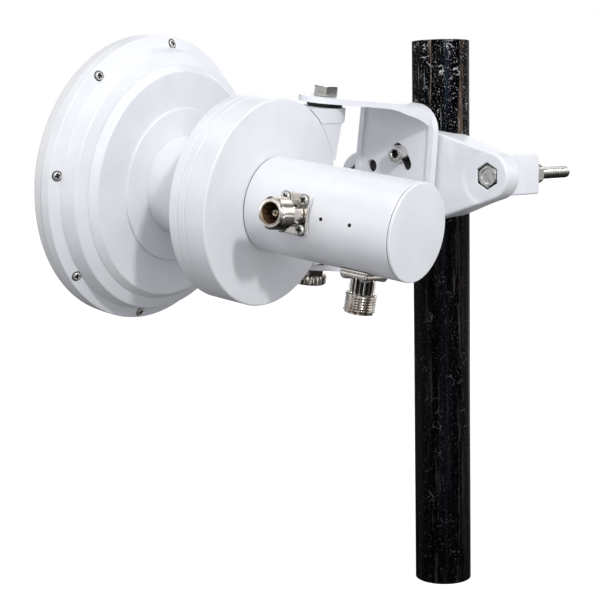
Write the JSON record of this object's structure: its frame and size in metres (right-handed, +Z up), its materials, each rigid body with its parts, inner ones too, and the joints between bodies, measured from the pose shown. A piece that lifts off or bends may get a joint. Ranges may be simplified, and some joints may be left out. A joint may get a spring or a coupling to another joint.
{
  "type": "horn antenna",
  "caption": "Horn antenna: round radome on a stepped horn, drum, feed housing with threaded cable sockets, and a bracket that tilts and swivels, clamped to a pole stub.",
  "frame": {"origin": "middle of the pole stub's flat foot, on the lower face of the foot plug", "axes": "+Z up along the pole; -Y is the way the aperture looks before its tilt; +X is the side the side socket faces, with the bracket between it and the pole"},
  "size_m": [0.2639, 0.198, 0.3101],
  "materials": {
    "white_paint": "white powder coat on cast aluminium",
    "radome_white": "white moulded plastic",
    "black_steel": "worn black paint on a steel tube",
    "black_plastic": "black moulded plastic",
    "nickel": "nickel plate on brass",
    "zinc_steel": "zinc plated steel",
    "brown_insulator": "brown insulating resin",
    "gold_contact": "gilded brass"
  },
  "bodies": {
    "clamp": {"clamp_arm": "white_paint", "clamp_bolt_front": "zinc_steel", "clamp_bolt_rear": "zinc_steel", "clamp_jaw": "white_paint", "clamp_nut_front": "zinc_steel", "clamp_nut_rear": "zinc_steel", "clamp_washer_front": "zinc_steel", "clamp_washer_rear": "zinc_steel", "lock_screw": "zinc_steel", "lock_spacer": "white_paint", "pivot_screw": "zinc_steel", "pivot_spacer": "white_paint", "pole_foot_plug": "black_plastic", "pole_top_plug": "black_plastic", "pole_tube": "black_steel"},
    "yoke": {"yoke": "white_paint"},
    "antenna": {"bottom_port_barrel": "nickel", "bottom_port_contact": "gold_contact", "bottom_port_flange": "nickel", "bottom_port_insulator": "brown_insulator", "drum_body": "white_paint", "drum_front_plate": "white_paint", "drum_middle_plate": "white_paint", "feed_housing": "white_paint", "horn_inner_step": "white_paint", "horn_outer_step": "white_paint", "horn_rim_flange": "white_paint", "housing_end_cap": "white_paint", "lower_lug": "white_paint", "lower_swivel_bolt": "nickel", "lower_swivel_washer": "black_plastic", "neck_collar": "white_paint", "radome": "radome_white", "side_port_barrel": "nickel", "side_port_contact": "gold_contact", "side_port_flange": "nickel", "side_port_insulator": "brown_insulator", "upper_lug": "white_paint", "upper_swivel_bolt": "zinc_steel", "upper_swivel_washer": "black_plastic", "waveguide_neck": "white_paint"}
  },
  "joints": [
    {"name": "tilt", "type": "hinge", "parent": "clamp", "child": "yoke", "pos_m": [0.0198, -0.02942, 0.22736], "axis": [1, 0, 0], "range_deg": [-8, 15]},
    {"name": "swivel", "type": "hinge", "parent": "yoke", "child": "antenna", "pos_m": [0.0652, -0.03709, 0.21344], "axis": [0, 0.1444, 0.9895], "range_deg": [-12, 12]}
  ]
}
